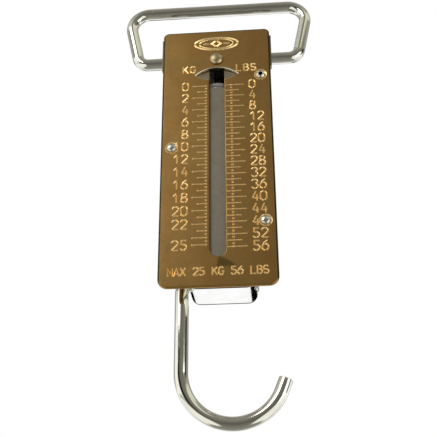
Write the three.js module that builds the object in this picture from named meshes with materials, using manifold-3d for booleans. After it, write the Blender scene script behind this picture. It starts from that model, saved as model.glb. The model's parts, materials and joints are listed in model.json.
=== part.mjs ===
// Hanging spring scale with a brass face, 25 kg.
// Millimetres, +Z up, the face looks along -Y. The origin is where a support carries the handle,
// under the middle of its grip. While a piece is built, z = 0 is the lower edge of the plate and
// y = 0 is the front of the plate; the whole assembly is shifted to the origin at the end.
import * as THREE from 'three';
import { mergeVertices } from 'three/addons/utils/BufferGeometryUtils.js';
import Module from 'manifold-3d';

const wasm = await Module();
wasm.setup();

// ---- driving dimensions -------------------------------------------------------------------
const gap = 0.3;                 // between pieces that touch or slide
const wireQuarter = 6;           // facets on half the section of a round wire

const plateWidth = 60;
const plateHeight = 155.6;
const plateThickness = 1.8;
const plateEdgeRound = 0.5;
const plateTopCorner = 3;
const plateBottomCorner = 5;

const travel = 95.5;             // full capacity
const indexZ = 118;              // top of the index strip with no load
const slotWidth = 8.3;
const slotEndZ = 16.1;
const windowHalf = 11.7;         // the lens-shaped window over the slot
const windowZ = 125.4;
const windowRise = 4.7;
const windowDrop = 3.5;

const handleWire = 6.8;
const handleAxisZ = 145.2;
const handleRise = 37.1;         // grip above the axis
const handleHalfLow = 46;
const handleHalfTop = 53.9;
const handleLowBend = 6.5;
const handleTopBend = 10.5;
const washerWall = 1.2;
const endHeadLength = 1.4;
const endHeadRim = 1.2;

const yokeThickness = 2;
const yokeOverhang = 0.8;        // ears stand proud of the plate's sides
const yokeLowZ = 131;
const yokeHighZ = 152;
const tongueHalf = 13;           // the web's tongue behind the window
const earRadius = 6;

const housingWall = 1.2;
const housingLowZ = 13;
const housingHighZ = 153;
const strapBehindClearance = 2.4; // from the draw strap to the inside of the housing's back
const rivetFromWall = 4.2;        // small rivets from the sides of the housing
const flangeBeyondRivet = 3.7;

const mainRivetZ = 136;
const mainRivetShank = 5.6;
const mainRivetGroove = 4.8;
const mainRivetHead = 7.6;
const mainRivetDome = 2;
const smallRivetShank = 2.8;
const smallRivetHead = 5;
const smallRivetDome = 1.2;
const smallRivetLowZ = 34.9;
const smallRivetPitch = 44.5;

const strapWidth = 34.2;         // outside, across the two legs
const strapThickness = 1.6;
const strapBottomZ = 0.2;
const strapTopZ = 121;
const strapBend = 5;
const strapShift = 1.5;          // side play: the frame rests towards the right wall
const stripWidth = 8.8;
const stripThickness = 1;
const stripLowZ = 3.5;
const stripCorner = 1.5;
const bridgeThickness = 1.4;
const bridgeHeight = 6;
const bridgeTab = 7;
const lowerBridgeZ = 6;
const bridgeRivetShank = 2.4;
const bridgeRivetHead = 4.2;
const bridgeRivetHeadHeight = 0.9;
const indexRivetShank = 2.2;

const springWire = 2.4;
const springOuter = 19;
const springTurns = 28;
const springClearance = 0.6;     // from the spring to the bridges
const springLoop = 7;            // mean radius of the end loops
const springPin = 4.8;

const stopHeight = 6;
const stopWidth = 16;
const stopDepth = 3.4;
const stopRivetShank = 2.2;
const stopRivetHead = 4;
const stopRivetSpacing = 8;

const hookWire = 7;
const hookBarZ = 6.8;
const hookBarBend = 4;
const hookBowlRadius = 25.2;
const hookBowlZ = -38.1;
const hookTipAngle = 22;         // degrees by which the tip leans outwards
const hookTipLength = 5.5;
const hookHeadLength = 0.7;       // peened end on the far side of the draw strap

// ---- derived places -----------------------------------------------------------------------
const plateHalf = plateWidth / 2;
const behindPlate = plateThickness + gap;
const stripBackY = behindPlate + stripThickness;
const strapFrontY = stripBackY + gap;
const strapDepth = springOuter + 2 * (bridgeThickness + springClearance);
const loadY = strapFrontY + strapDepth / 2; // the line through handle, spring and hook
const strapBackY = strapFrontY + strapDepth;
const legInner = strapWidth / 2 - strapThickness;
const housingInnerHalf = strapWidth / 2 + strapShift + gap;
const housingHalf = housingInnerHalf + housingWall;
const smallRivetX = housingHalf + rivetFromWall;
const flangeHalf = smallRivetX + flangeBeyondRivet;
const housingInnerY = strapBackY + strapBehindClearance;
const housingDepth = housingInnerY + housingWall;
const housingCorner = strapBehindClearance + housingWall;
const gripZ = handleAxisZ + handleRise;
const earOuter = plateHalf + yokeOverhang;
const earInner = earOuter - yokeThickness;
const springRadius = (springOuter - springWire) / 2;
const springBody = springTurns * springWire;
const topLoopZ = mainRivetZ + mainRivetGroove / 2 + gap + springWire / 2 - springLoop;
const springHighZ = topLoopZ - springLoop;
const springLowZ = springHighZ - springBody;
const lowLoopZ = springLowZ - springLoop;
const springPinZ = lowLoopZ - springLoop + springWire / 2 + gap + springPin / 2;
const hookShankX = strapShift - strapWidth / 2 - gap - hookWire / 2;
const hookBowlX = hookShankX + hookBowlRadius;
const stopLowZ = housingLowZ + gap;
const rearBridgeZ = stopLowZ + stopHeight + gap + travel;
const upperBridgeZ = indexZ - 2 - bridgeHeight;
const smallRivets = [
  { name: 'plate_rivet_upper', x: smallRivetX, z: smallRivetLowZ + 2 * smallRivetPitch, hollow: true },
  { name: 'plate_rivet_middle', x: -smallRivetX, z: smallRivetLowZ + smallRivetPitch },
  { name: 'plate_rivet_lower', x: smallRivetX, z: smallRivetLowZ },
];

// ---- materials ----------------------------------------------------------------------------
function metal(colour, roughness, metalness = 1) {
  return new THREE.MeshStandardMaterial({ color: colour, roughness, metalness });
}
const looks = {
  brass: () => metal(0x836634, 0.45),
  nickel: () => metal(0xc9c9bd, 0.22),
  housing: () => metal(0x8c8c84, 0.4),
  strip: () => metal(0x6e685c, 0.5),
  rivet: () => metal(0xc4bda6, 0.35),
  spring: () => metal(0x3c3a38, 0.4),
  zinc: () => metal(0xa8a8a2, 0.4),
};

// ---- solid helpers ------------------------------------------------------------------------
function toSolid(geometry) {
  const plain = geometry.clone();
  plain.deleteAttribute('normal');
  plain.deleteAttribute('uv');
  const merged = mergeVertices(plain, 1e-5);
  const corners = merged.index.array;
  const triangles = [];
  for (let i = 0; i < corners.length; i += 3) {
    const [a, b, c] = [corners[i], corners[i + 1], corners[i + 2]];
    if (a !== b && b !== c && c !== a) triangles.push(a, b, c);
  }
  return new wasm.Manifold(new wasm.Mesh({
    numProp: 3,
    vertProperties: new Float32Array(merged.attributes.position.array),
    triVerts: new Uint32Array(triangles),
  }));
}

function toGeometry(solid) {
  const mesh = solid.getMesh();
  const geometry = new THREE.BufferGeometry();
  geometry.setAttribute('position', new THREE.BufferAttribute(new Float32Array(mesh.vertProperties), 3));
  geometry.setIndex(new THREE.BufferAttribute(new Uint32Array(mesh.triVerts), 1));
  geometry.computeVertexNormals();
  return geometry;
}

function cut(base, ...tools) {
  const result = tools.reduce((solid, tool) => solid.subtract(toSolid(tool)), toSolid(base));
  return toGeometry(result);
}

function join(...pieces) {
  const [first, ...others] = pieces.map(toSolid);
  return toGeometry(others.reduce((solid, other) => solid.add(other), first));
}

function box(x0, x1, y0, y1, z0, z1) {
  return new THREE.BoxGeometry(x1 - x0, y1 - y0, z1 - z0)
    .translate((x0 + x1) / 2, (y0 + y1) / 2, (z0 + z1) / 2);
}

// A shape drawn in (x, z), pushed back along +Y from y0 to y1.
function slab(shape, y0, y1, curveSegments = 12) {
  return new THREE.ExtrudeGeometry(shape, { depth: y1 - y0, bevelEnabled: false, curveSegments })
    .rotateX(Math.PI / 2)
    .translate(0, y1, 0);
}

// A profile of [radius, along] points turned about an axis parallel to Y, X or Z.
function turned(profile, axis, segments = 14) {
  const points = profile.map(([radius, along]) => new THREE.Vector2(radius, along));
  const geometry = new THREE.LatheGeometry(points, segments);
  if (axis === 'x') geometry.rotateZ(-Math.PI / 2);
  if (axis === 'z') geometry.rotateX(Math.PI / 2);
  return geometry;
}

function rod(radius, from, to, axis, segments = 14) {
  return turned([[0, from], [radius, from], [radius, to], [0, to]], axis, segments);
}

function addPiece(parent, name, geometry, material) {
  const mesh = new THREE.Mesh(geometry, material);
  mesh.name = name;
  parent.add(mesh);
  return mesh;
}

class PlanarArc extends THREE.Curve {
  constructor(centre, radius, fromAngle, toAngle) {
    super();
    Object.assign(this, { centre, radius, fromAngle, toAngle });
  }

  getPoint(t, target = new THREE.Vector3()) {
    const angle = this.fromAngle + (this.toAngle - this.fromAngle) * t;
    return target.set(this.centre.x + this.radius * Math.cos(angle), this.centre.y,
      this.centre.z + this.radius * Math.sin(angle));
  }
}

// Straight lines through corners in the plane y = loadY, with each inner corner bent to a radius.
function bentPath(corners) {
  const path = new THREE.CurvePath();
  let start = new THREE.Vector3(corners[0].x, loadY, corners[0].z);
  for (let i = 1; i < corners.length - 1; i += 1) {
    const here = new THREE.Vector3(corners[i].x, loadY, corners[i].z);
    const last = new THREE.Vector3(corners[i - 1].x, loadY, corners[i - 1].z);
    const next = new THREE.Vector3(corners[i + 1].x, loadY, corners[i + 1].z);
    const inward = here.clone().sub(last).normalize();
    const outward = next.clone().sub(here).normalize();
    const turn = inward.angleTo(outward);
    const reach = corners[i].bend * Math.tan(turn / 2);
    const side = Math.sign(inward.x * outward.z - inward.z * outward.x);
    const arcStart = here.clone().addScaledVector(inward, -reach);
    const toCentre = new THREE.Vector3(-inward.z * side, 0, inward.x * side);
    const centre = arcStart.clone().addScaledVector(toCentre, corners[i].bend);
    const fromAngle = Math.atan2(arcStart.z - centre.z, arcStart.x - centre.x);
    path.add(new THREE.LineCurve3(start, arcStart));
    path.add(new PlanarArc(centre, corners[i].bend, fromAngle, fromAngle + side * turn));
    start = here.clone().addScaledVector(outward, reach);
  }
  const end = corners[corners.length - 1];
  path.add(new THREE.LineCurve3(start, new THREE.Vector3(end.x, loadY, end.z)));
  return path;
}

function wire(path, diameter, steps) {
  const section = new THREE.Shape().absarc(0, 0, diameter / 2, 0, Math.PI * 2);
  return new THREE.ExtrudeGeometry(section, { extrudePath: path, steps, curveSegments: wireQuarter });
}

// ---- front plate --------------------------------------------------------------------------
function plateOutline() {
  const inset = plateEdgeRound;
  const side = plateHalf - inset;
  const top = plateHeight - inset;
  const topCorner = plateTopCorner - inset;
  const bottomCorner = plateBottomCorner - inset;
  const shape = new THREE.Shape();
  shape.moveTo(-side + bottomCorner, inset);
  shape.lineTo(side - bottomCorner, inset);
  shape.absarc(side - bottomCorner, inset + bottomCorner, bottomCorner, -Math.PI / 2, 0);
  shape.absarc(side - topCorner, top - topCorner, topCorner, 0, Math.PI / 2);
  shape.absarc(-side + topCorner, top - topCorner, topCorner, Math.PI / 2, Math.PI);
  shape.absarc(-side + bottomCorner, inset + bottomCorner, bottomCorner, Math.PI, Math.PI * 1.5);
  return shape;
}

// Window and slot as one opening; `grow` makes up for the rounded lip.
function windowOutline(grow) {
  const half = slotWidth / 2 + grow;
  const wide = windowHalf + grow;
  const rise = windowRise + grow;
  const drop = windowDrop + grow;
  const upperRadius = (wide * wide + rise * rise) / (2 * rise);
  const lowerRadius = (wide * wide + drop * drop) / (2 * drop);
  const upperAngle = Math.asin(wide / upperRadius);
  const lowerAngle = Math.asin(wide / lowerRadius);
  const slotAngle = Math.asin(half / lowerRadius);
  const up = Math.PI / 2;
  const lowerCentre = windowZ - drop + lowerRadius;
  const path = new THREE.Path();
  path.absarc(0, windowZ + rise - upperRadius, upperRadius, up - upperAngle, up + upperAngle);
  path.absarc(0, lowerCentre, lowerRadius, -up - lowerAngle, -up - slotAngle);
  path.absarc(0, slotEndZ + slotWidth / 2, half, Math.PI, Math.PI * 2);
  path.absarc(0, lowerCentre, lowerRadius, -up + slotAngle, -up + lowerAngle);
  return path;
}

function buildFrontPlate(parent) {
  const shape = plateOutline();
  shape.holes.push(windowOutline(plateEdgeRound));
  const geometry = new THREE.ExtrudeGeometry(shape, {
    depth: plateThickness - 2 * plateEdgeRound,
    bevelEnabled: true,
    bevelSize: plateEdgeRound,
    bevelThickness: plateEdgeRound,
    bevelSegments: 2,
    curveSegments: 10,
  }).rotateX(Math.PI / 2).translate(0, plateThickness - plateEdgeRound, 0);
  const through = [-1, plateThickness + 1];
  const holes = smallRivets.map(({ x, z }) =>
    rod(smallRivetShank / 2 + gap, ...through, 'y').translate(x, 0, z));
  holes.push(rod(mainRivetShank / 2 + gap, ...through, 'y').translate(0, 0, mainRivetZ));
  addPiece(parent, 'front_plate', cut(geometry, ...holes), looks.brass());
}

// ---- back housing -------------------------------------------------------------------------
function housingOutline(half, frontY, backY, corner) {
  const shape = new THREE.Shape();
  shape.moveTo(-half, frontY);
  shape.lineTo(half, frontY);
  shape.absarc(half - corner, backY - corner, corner, 0, Math.PI / 2);
  shape.absarc(-half + corner, backY - corner, corner, Math.PI / 2, Math.PI);
  return shape;
}

function channel(half, frontY, backY, corner, z0, z1) {
  const shape = housingOutline(half, frontY, backY, corner);
  return new THREE.ExtrudeGeometry(shape, { depth: z1 - z0, bevelEnabled: false, curveSegments: 8 })
    .translate(0, 0, z0);
}

function stopRivetPlaces() {
  return [-1, 1].map((side) => ({ side, x: side * stopRivetSpacing / 2, z: stopLowZ + stopHeight / 2 }));
}

function buildHousing(parent) {
  const flangeHighZ = yokeLowZ - gap;
  const yokeBackY = behindPlate + yokeThickness + gap;
  const body = join(
    channel(housingHalf, behindPlate, housingDepth, housingCorner, housingLowZ, flangeHighZ),
    channel(housingHalf, yokeBackY, housingDepth, housingCorner, housingLowZ + 1, housingHighZ),
    box(-flangeHalf, flangeHalf, behindPlate, behindPlate + housingWall, housingLowZ, flangeHighZ),
  );
  const innerCorner = housingCorner - housingWall;
  const tools = [
    channel(housingInnerHalf, 0, housingInnerY, innerCorner, housingLowZ - 1, housingHighZ - housingWall),
    rod(mainRivetShank / 2 + gap, housingInnerY - 2, housingDepth + 1, 'y').translate(0, 0, mainRivetZ),
  ];
  for (const { x, z } of smallRivets) {
    tools.push(rod(smallRivetShank / 2 + gap, 0, behindPlate + housingWall + 1, 'y').translate(x, 0, z));
  }
  for (const { x, z } of stopRivetPlaces()) {
    tools.push(rod(stopRivetShank / 2 + gap, housingInnerY - 1, housingDepth + 1, 'y').translate(x, 0, z));
  }
  addPiece(parent, 'back_housing', cut(body, ...tools), looks.housing());
}

// ---- yoke that carries the handle -----------------------------------------------------------
function buildYoke(parent) {
  const ear = new THREE.Shape();
  ear.moveTo(behindPlate, handleAxisZ - earRadius);
  ear.absarc(loadY, handleAxisZ, earRadius, -Math.PI / 2, Math.PI / 2);
  ear.lineTo(behindPlate, handleAxisZ + earRadius);
  const ears = [-1, 1].map((side) =>
    new THREE.ExtrudeGeometry(ear, { depth: yokeThickness, bevelEnabled: false, curveSegments: 12 })
      .rotateX(Math.PI / 2)
      .rotateZ(Math.PI / 2)
      .translate(side > 0 ? earInner : -earOuter, 0, 0));
  const web = box(-earOuter, earOuter, behindPlate, behindPlate + yokeThickness, yokeLowZ, yokeHighZ);
  const tongue = box(-tongueHalf, tongueHalf, behindPlate, behindPlate + yokeThickness,
    strapTopZ + gap, yokeLowZ + 1);
  const body = join(web, tongue, ...ears);
  const geometry = cut(body,
    box(-slotWidth / 2, slotWidth / 2, 0, behindPlate + yokeThickness + 1, strapTopZ, yokeLowZ - 1),
    rod(handleWire / 2 + gap, -earOuter - 1, earOuter + 1, 'x').translate(0, loadY, handleAxisZ),
    rod(mainRivetShank / 2 + gap, 0, behindPlate + yokeThickness + 1, 'y').translate(0, 0, mainRivetZ));
  addPiece(parent, 'handle_yoke', geometry, looks.zinc());
}

// ---- rivets of the case ---------------------------------------------------------------------
// A domed head in front of y = 0 as profile points from the axis outwards.
function dome(radius, height) {
  const steps = 5;
  const points = [];
  for (let i = 0; i < steps; i += 1) {
    const angle = (Math.PI / 2) * (i / steps);
    points.push([radius * Math.sin(angle), -gap - height * Math.cos(angle)]);
  }
  points.push([radius, -gap]);
  return points;
}

function buildMainRivet(parent) {
  const shank = mainRivetShank / 2;
  const groove = mainRivetGroove / 2;
  const grooveHalf = springWire / 2 + gap;
  const back = housingDepth + gap;
  const tail = mainRivetHead / 2;
  const profile = [
    ...dome(mainRivetHead / 2, mainRivetDome),
    [shank, -gap],
    [shank, loadY - grooveHalf - 0.6],
    [groove, loadY - grooveHalf],
    [groove, loadY + grooveHalf],
    [shank, loadY + grooveHalf + 0.6],
    [shank, back],
    [tail, back],
    [tail * 0.8, back + 1],
    [0, back + 1.4],
  ];
  addPiece(parent, 'main_rivet', turned(profile, 'y', 18), looks.rivet())
    .position.set(0, 0, mainRivetZ);
}

function buildSmallRivets(parent) {
  const boreRadius = 0.9;
  const boreDepth = 1.6;
  const shank = smallRivetShank / 2;
  const tailY = behindPlate + housingWall + gap;
  for (const { name, x, z, hollow } of smallRivets) {
    const head = dome(smallRivetHead / 2, smallRivetDome);
    if (hollow) {
      head[0] = [0, boreDepth - gap];
      head.splice(1, 1, [boreRadius, boreDepth - gap], [boreRadius, -gap - smallRivetDome * 0.95]);
    }
    const profile = [
      ...head,
      [shank, -gap],
      [shank, tailY],
      [smallRivetHead / 2 - 0.3, tailY],
      [smallRivetHead / 2 - 0.8, tailY + 0.8],
      [0, tailY + 1],
    ];
    addPiece(parent, name, turned(profile, 'y'), looks.rivet()).position.set(x, 0, z);
  }
}

// ---- travel stop ----------------------------------------------------------------------------
function buildStop(parent) {
  const backY = housingInnerY - gap;
  const half = stopWidth / 2;
  const block = box(-half, half, backY - stopDepth, backY, stopLowZ, stopLowZ + stopHeight);
  const holes = stopRivetPlaces().map(({ x, z }) =>
    rod(stopRivetShank / 2 + gap, backY - stopDepth - 1, backY + 1, 'y').translate(x, 0, z));
  addPiece(parent, 'travel_stop', cut(block, ...holes), looks.zinc());
  const frontY = backY - stopDepth;
  for (const { side, x, z } of stopRivetPlaces()) {
    const profile = [
      [0, frontY],
      [stopRivetShank / 2, frontY],
      [stopRivetShank / 2, housingDepth + gap],
      [stopRivetHead / 2, housingDepth + gap],
      [stopRivetHead / 2 - 0.6, housingDepth + gap + 0.8],
      [0, housingDepth + gap + 1],
    ];
    const name = side < 0 ? 'stop_rivet_left' : 'stop_rivet_right';
    addPiece(parent, name, turned(profile, 'y', 10), looks.rivet()).position.set(x, 0, z);
  }
}

// ---- draw frame -----------------------------------------------------------------------------
function strapOutline() {
  const half = strapWidth / 2;
  const innerBend = strapBend - strapThickness;
  const shape = new THREE.Shape();
  shape.moveTo(-half, strapTopZ);
  shape.absarc(-half + strapBend, strapBottomZ + strapBend, strapBend, Math.PI, Math.PI * 1.5);
  shape.absarc(half - strapBend, strapBottomZ + strapBend, strapBend, -Math.PI / 2, 0);
  shape.lineTo(half, strapTopZ);
  shape.lineTo(legInner, strapTopZ);
  shape.absarc(half - strapBend, strapBottomZ + strapBend, innerBend, 0, -Math.PI / 2, true);
  shape.absarc(-half + strapBend, strapBottomZ + strapBend, innerBend, -Math.PI / 2, -Math.PI, true);
  shape.lineTo(-legInner, strapTopZ);
  return shape;
}

const bridges = [
  { name: 'upper_bridge', z: upperBridgeZ, front: true },
  { name: 'lower_bridge', z: lowerBridgeZ, front: true },
  { name: 'rear_bridge', z: rearBridgeZ, front: false },
];

// Each bridge ties the legs; its tabs lie on their inner faces and take one rivet each.
function bridgePlaces({ z, front }) {
  const webY = front ? strapFrontY : strapBackY - bridgeThickness;
  const tabY = front ? strapFrontY : strapBackY - bridgeTab;
  const rivetY = front ? strapFrontY + bridgeTab - 2.4 : strapBackY - bridgeTab + 2.4;
  return { webY, tabY, rivetY, rivetZ: z + bridgeHeight / 2 };
}

function buildDrawFrame(parent) {
  const frame = new THREE.Group();
  frame.position.x = strapShift;
  parent.add(frame);
  const half = strapWidth / 2;
  const across = [-half - 1, half + 1];
  const strap = slab(strapOutline(), strapFrontY, strapBackY, 8);
  const strapHoles = [
    rod(hookWire / 2 + gap, ...across, 'x').translate(0, loadY, hookBarZ),
    rod(springPin / 2 + gap, ...across, 'x').translate(0, loadY, springPinZ),
  ];
  for (const bridge of bridges) {
    const { webY, tabY, rivetY, rivetZ } = bridgePlaces(bridge);
    const low = bridge.z;
    const high = bridge.z + bridgeHeight;
    const reach = legInner - gap;
    const rivetHole = () =>
      rod(bridgeRivetShank / 2 + gap, ...across, 'x').translate(0, rivetY, rivetZ);
    strapHoles.push(rivetHole());
    const body = join(
      box(-reach, reach, webY, webY + bridgeThickness, low, high),
      box(-reach, -reach + bridgeThickness, tabY, tabY + bridgeTab, low, high),
      box(reach - bridgeThickness, reach, tabY, tabY + bridgeTab, low, high),
    );
    const holes = [rivetHole()];
    if (bridge.name === 'lower_bridge') {
      holes.push(rod(indexRivetShank / 2 + gap, 0, webY + 4, 'y').translate(-strapShift, 0, rivetZ));
    }
    addPiece(frame, bridge.name, cut(body, ...holes), looks.zinc());
    for (const side of [-1, 1]) {
      const inside = reach - bridgeThickness - gap;
      const profile = [
        [0, half],
        [bridgeRivetShank / 2, half],
        [bridgeRivetShank / 2, inside],
        [bridgeRivetHead / 2, inside],
        [bridgeRivetHead / 2 - 0.5, inside - bridgeRivetHeadHeight],
        [0, inside - bridgeRivetHeadHeight],
      ].map(([radius, along]) => [radius, -along]);
      const geometry = turned(profile, 'x', 10);
      if (side > 0) geometry.rotateZ(Math.PI);
      const name = `${bridge.name}_rivet_${side < 0 ? 'left' : 'right'}`;
      addPiece(frame, name, geometry, looks.rivet()).position.set(0, rivetY, rivetZ);
    }
  }
  addPiece(frame, 'draw_strap', cut(strap, ...strapHoles), looks.nickel());
  addPiece(frame, 'spring_pin', rod(springPin / 2, -half, half, 'x'), looks.zinc())
    .position.set(0, loadY, springPinZ);
}

function buildIndexStrip(parent) {
  const half = stripWidth / 2;
  const shape = new THREE.Shape();
  shape.moveTo(-half, stripLowZ);
  shape.lineTo(half, stripLowZ);
  shape.absarc(half - stripCorner, indexZ - stripCorner, stripCorner, 0, Math.PI / 2);
  shape.absarc(-half + stripCorner, indexZ - stripCorner, stripCorner, Math.PI / 2, Math.PI);
  const rivetZ = lowerBridgeZ + bridgeHeight / 2;
  const hole = rod(indexRivetShank / 2 + gap, 0, stripBackY + 1, 'y').translate(0, 0, rivetZ);
  const strip = cut(slab(shape, behindPlate, stripBackY, 4), hole);
  addPiece(parent, 'index_strip', strip, looks.strip());
  const tailY = strapFrontY + bridgeThickness + gap;
  const profile = [
    [0, behindPlate],
    [indexRivetShank / 2, behindPlate],
    [indexRivetShank / 2, tailY],
    [indexRivetShank / 2 + 0.8, tailY],
    [indexRivetShank / 2 + 0.4, tailY + 0.7],
    [0, tailY + 0.7],
  ];
  addPiece(parent, 'index_rivet', turned(profile, 'y', 10), looks.rivet()).position.set(0, 0, rivetZ);
}

// ---- load spring ----------------------------------------------------------------------------
// The close-wound body is one sleeve with a slit; the real coil is left to the looks.
function buildSpring(parent) {
  const inner = springRadius - springWire / 2;
  const body = cut(
    rod(springOuter / 2, springLowZ, springHighZ, 'z', 24).translate(0, loadY, 0),
    rod(inner, springLowZ + springWire, springHighZ - springWire, 'z', 24).translate(0, loadY, 0),
    box(-1, 1, loadY, loadY + springOuter, springLowZ + springWire, springHighZ - springWire),
  );
  const ring = [];
  const sides = 6;
  for (let i = 0; i <= sides; i += 1) {
    const angle = (i / sides) * Math.PI * 2;
    ring.push([springLoop + (springWire / 2) * Math.cos(angle), (springWire / 2) * Math.sin(angle)]);
  }
  const topLoop = turned(ring, 'y', 18).translate(0, loadY, topLoopZ);
  const lowLoop = turned(ring, 'x', 18).translate(0, loadY, lowLoopZ);
  addPiece(parent, 'load_spring', join(body, topLoop, lowLoop), looks.spring());
}

// ---- handle ---------------------------------------------------------------------------------
function buildHandle(parent) {
  const washerOuterX = earInner - gap;
  const headX = washerOuterX - washerWall - gap;
  const endX = headX - endHeadLength;
  const path = bentPath([
    { x: -endX, z: handleAxisZ },
    { x: -handleHalfLow, z: handleAxisZ, bend: handleLowBend },
    { x: -handleHalfTop, z: gripZ, bend: handleTopBend },
    { x: handleHalfTop, z: gripZ, bend: handleTopBend },
    { x: handleHalfLow, z: handleAxisZ, bend: handleLowBend },
    { x: endX, z: handleAxisZ },
  ]);
  const heads = [-1, 1].map((side) =>
    rod(handleWire / 2 + endHeadRim, endX, headX, 'x')
      .rotateZ(side < 0 ? Math.PI : 0)
      .translate(0, loadY, handleAxisZ));
  addPiece(parent, 'handle', join(wire(path, handleWire, 56), ...heads), looks.nickel());
  for (const side of [-1, 1]) {
    const inner = handleWire / 2 + gap;
    const outer = handleWire / 2 + endHeadRim + 1;
    const profile = [
      [inner, -washerWall / 2],
      [outer, -washerWall / 2],
      [outer, washerWall / 2],
      [inner, washerWall / 2],
      [inner, -washerWall / 2],
    ];
    const name = side < 0 ? 'handle_washer_left' : 'handle_washer_right';
    addPiece(parent, name, turned(profile, 'x'), looks.zinc())
      .position.set(side * (washerOuterX - washerWall / 2), loadY, handleAxisZ);
  }
}

// ---- hook -----------------------------------------------------------------------------------
function buildHook(parent) {
  const headInX = strapShift + strapWidth / 2 + gap;
  const endX = headInX + hookHeadLength;
  const lean = THREE.MathUtils.degToRad(hookTipAngle);
  const path = new THREE.CurvePath();
  const bowl = new THREE.Vector3(hookBowlX, loadY, hookBowlZ);
  const top = bentPath([
    { x: endX, z: hookBarZ },
    { x: hookShankX, z: hookBarZ, bend: hookBarBend },
    { x: hookShankX, z: hookBowlZ },
  ]);
  top.curves.forEach((curve) => path.add(curve));
  path.add(new PlanarArc(bowl, hookBowlRadius, Math.PI, Math.PI * 2 - lean));
  const tipStart = path.getPoint(1);
  const tipEnd = tipStart.clone()
    .add(new THREE.Vector3(Math.sin(lean) * hookTipLength, 0, Math.cos(lean) * hookTipLength));
  path.add(new THREE.LineCurve3(tipStart, tipEnd));
  const head = rod(hookWire / 2 + endHeadRim, headInX, endX, 'x').translate(0, loadY, hookBarZ);
  addPiece(parent, 'hook', join(wire(path, hookWire, 56), head), looks.nickel());
}

// ---- assembly -------------------------------------------------------------------------------
const scale = new THREE.Group();
const assembly = new THREE.Group();
assembly.position.set(0, -loadY, -(gripZ - handleWire / 2));
scale.add(assembly);

buildFrontPlate(assembly);
buildHousing(assembly);
buildYoke(assembly);
buildMainRivet(assembly);
buildSmallRivets(assembly);
buildStop(assembly);
buildDrawFrame(assembly);
buildIndexStrip(assembly);
buildSpring(assembly);
buildHandle(assembly);
buildHook(assembly);

export default scale;
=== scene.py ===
import json
import math

import bmesh
import bpy
from mathutils import Matrix, Vector


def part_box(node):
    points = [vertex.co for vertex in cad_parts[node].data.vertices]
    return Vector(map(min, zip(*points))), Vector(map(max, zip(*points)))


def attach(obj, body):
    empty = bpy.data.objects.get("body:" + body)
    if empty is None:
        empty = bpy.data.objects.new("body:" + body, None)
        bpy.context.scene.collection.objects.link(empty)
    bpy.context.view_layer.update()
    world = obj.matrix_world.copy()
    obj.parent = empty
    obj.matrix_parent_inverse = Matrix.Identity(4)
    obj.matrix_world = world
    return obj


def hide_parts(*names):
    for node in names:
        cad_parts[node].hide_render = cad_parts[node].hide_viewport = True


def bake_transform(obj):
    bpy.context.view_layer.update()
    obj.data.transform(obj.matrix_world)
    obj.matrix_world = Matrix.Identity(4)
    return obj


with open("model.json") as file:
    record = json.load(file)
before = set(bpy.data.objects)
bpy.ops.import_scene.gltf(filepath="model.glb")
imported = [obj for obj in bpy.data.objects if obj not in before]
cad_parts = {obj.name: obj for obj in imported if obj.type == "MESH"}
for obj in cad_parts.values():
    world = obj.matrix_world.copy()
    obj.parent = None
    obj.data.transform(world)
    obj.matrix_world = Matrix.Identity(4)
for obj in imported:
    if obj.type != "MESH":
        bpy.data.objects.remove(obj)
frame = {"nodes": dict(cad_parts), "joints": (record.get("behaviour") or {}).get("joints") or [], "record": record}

scene = bpy.context.scene
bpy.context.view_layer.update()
mm = 0.001
joints = {joint["name"]: joint for joint in frame["joints"]}
travel = joints["draw_slide"]["range_m"][1]

plateLow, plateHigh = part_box("front_plate")
plateFront = plateLow.y
plateBottom = plateLow.z
plateTop = plateHigh.z
plateHalf = plateHigh.x
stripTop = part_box("index_strip")[1].z  # the zero of the scale


def fromBottom(height):
    return plateBottom + height * mm


# Meshes

def meshPiece(name, points, faces, looks, smooth=30):
    mesh = bpy.data.meshes.new(name)
    mesh.from_pydata([tuple(p) for p in points], [], faces)
    mesh.update()
    piece = bpy.data.objects.new(name, mesh)
    scene.collection.objects.link(piece)
    for look in looks if isinstance(looks, list) else [looks]:
        mesh.materials.append(look)
    smoothByAngle(piece, smooth)
    return piece


def smoothByAngle(piece, degrees):
    mesh = piece.data
    mesh.polygons.foreach_set("use_smooth", [True] * len(mesh.polygons))
    mesh.set_sharp_from_angle(angle=math.radians(degrees))


def flattenFaces(piece):
    # large flat faces keep their own direction beside rounded edges
    weighted = piece.modifiers.new("flat faces", "WEIGHTED_NORMAL")
    weighted.mode = "FACE_AREA"
    weighted.weight = 100
    weighted.keep_sharp = True


def outwards(piece):
    shape = bmesh.new()
    shape.from_mesh(piece.data)
    bmesh.ops.remove_doubles(shape, verts=shape.verts, dist=1e-6)
    bmesh.ops.recalc_face_normals(shape, faces=shape.faces)
    shape.to_mesh(piece.data)
    shape.free()
    piece.data.update()


def settle(piece):
    # bakes the modifiers into the mesh
    graph = bpy.context.evaluated_depsgraph_get()
    baked = bpy.data.meshes.new_from_object(piece.evaluated_get(graph))
    piece.modifiers.clear()
    piece.data = baked


def softenEdges(piece, width):
    bevel = piece.modifiers.new("edges", "BEVEL")
    bevel.width = width
    bevel.segments = 2
    bevel.limit_method = "ANGLE"
    bevel.angle_limit = math.radians(50)


def carve(piece, cutters):
    for cutter in cutters:
        boolean = piece.modifiers.new("cut", "BOOLEAN")
        boolean.operation = "DIFFERENCE"
        boolean.solver = "EXACT"
        boolean.object = cutter
        boolean.material_mode = "TRANSFER"
        settle(piece)
        bpy.data.objects.remove(cutter)


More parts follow.
